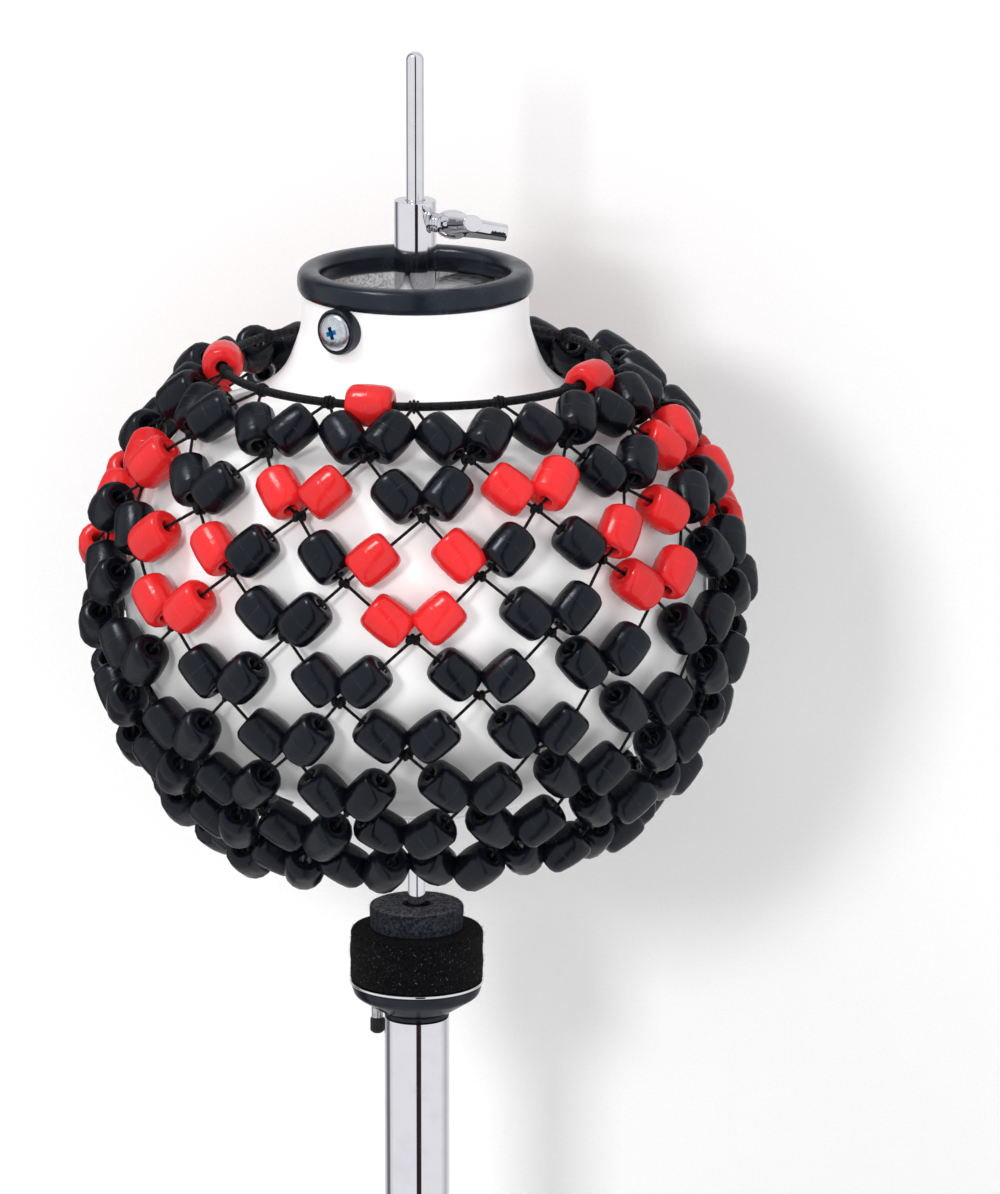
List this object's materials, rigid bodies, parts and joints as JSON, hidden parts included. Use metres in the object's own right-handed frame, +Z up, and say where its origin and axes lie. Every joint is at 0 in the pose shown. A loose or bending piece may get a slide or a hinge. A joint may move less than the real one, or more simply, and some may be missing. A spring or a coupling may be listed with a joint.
{
  "type": "hi-hat shaker",
  "caption": "White gourd-shaped shaker in a net of strung barrel beads, hung by a clutch on the sprung pull rod of a hi-hat stand top.",
  "frame": {"origin": "centre of the stand tube's lower end", "axes": "+Z up along the pull rod; -Y is the front of the picture, +X to its right"},
  "size_m": [0.2278, 0.2272, 0.4666],
  "materials": {
    "shell_white": "white gloss gelcoat on fibreglass",
    "rubber": "smooth black rubber",
    "bead_black": "black moulded bead, some red in rows two to four",
    "bead_red": "red moulded bead",
    "cord_black": "braided black cord",
    "chrome": "polished chrome plate",
    "zinc_steel": "zinc plated steel",
    "felt_black": "dense black felt",
    "felt_grey": "charcoal felt",
    "cup_black": "black moulded plastic",
    "nylon": "grey nylon"
  },
  "bodies": {
    "stand": {"stand_tube": "chrome", "seat_cup": "cup_black", "rod_guide": "nylon", "spring_seat": "zinc_steel", "return_spring": "zinc_steel"},
    "seat": {"tilt_plate": "chrome", "seat_felt": "felt_black", "top_felt": "felt_grey"},
    "tilt_screw": {"tilt_thumb_screw": "cup_black"},
    "pull_rod": {"pull_rod": "chrome", "spring_collar": "zinc_steel", "rod_coupling": "zinc_steel"},
    "shaker": {"clutch_collar": "chrome", "clutch_sleeve": "zinc_steel", "clutch_washer": "nylon", "clutch_felt": "felt_grey", "clutch_nut": "chrome", "cross_bar": "zinc_steel", "neck_screw_front": "chrome", "neck_screw_rear": "chrome", "neck_washer_front": "rubber", "neck_washer_rear": "rubber", "neck_nut_front": "zinc_steel", "neck_nut_rear": "zinc_steel", "gourd_shell": "shell_white", "neck_rim": "rubber"},
    "wing_screw": {"wing_screw": "chrome"},
    "bead_net": {"neck_cord": "cord_black", "neck_bead_1": "bead_red", "neck_bead_2": "bead_red", "neck_bead_3": "bead_red", "neck_bead_4": "bead_red", "neck_bead_5": "bead_red", "bead_row_1": "bead_black", "bead_row_2": "bead_black", "bead_row_3": "bead_black", "bead_row_4": "bead_black", "bead_row_5": "bead_black", "bead_row_6": "bead_black", "bead_row_7": "bead_black", "bead_row_8": "bead_black", "bead_row_9": "bead_black"}
  },
  "joints": [
    {"name": "rod_slide", "type": "slide", "parent": "stand", "child": "pull_rod", "axis": [0, 0, 1], "range_m": [-0.032, 0], "stiffness_N_per_m": 600, "springref_m": 0.05, "deforming": ["return_spring"]},
    {"name": "clutch_slide", "type": "slide", "parent": "pull_rod", "child": "shaker", "axis": [0, 0, 1], "range_m": [-0.004, 0.04]},
    {"name": "wing_screw_turn", "type": "hinge", "parent": "shaker", "child": "wing_screw", "pos_m": [0, 0, 0.4088], "axis": [0.891, -0.454, 0], "range_deg": [0, 540]},
    {"name": "net_twist", "type": "hinge", "parent": "shaker", "child": "bead_net", "pos_m": [0, 0, 0.282], "axis": [0, 0, 1], "range_deg": [-20, 20]},
    {"name": "tilt_screw_turn", "type": "hinge", "parent": "stand", "child": "tilt_screw", "pos_m": [-0.01364, 0.00756, 0.125], "axis": [0, 0, 1], "range_deg": [0, 720]},
    {"name": "seat_tilt", "type": "hinge", "parent": "stand", "child": "seat", "pos_m": [0.01749, -0.0097, 0.1424], "axis": [0.4848, 0.8746, 0], "range_deg": [0, 3]}
  ],
  "couplings": [
    {"joint": "tilt_screw_turn", "follows": "seat_tilt", "ratio": 240}
  ]
}
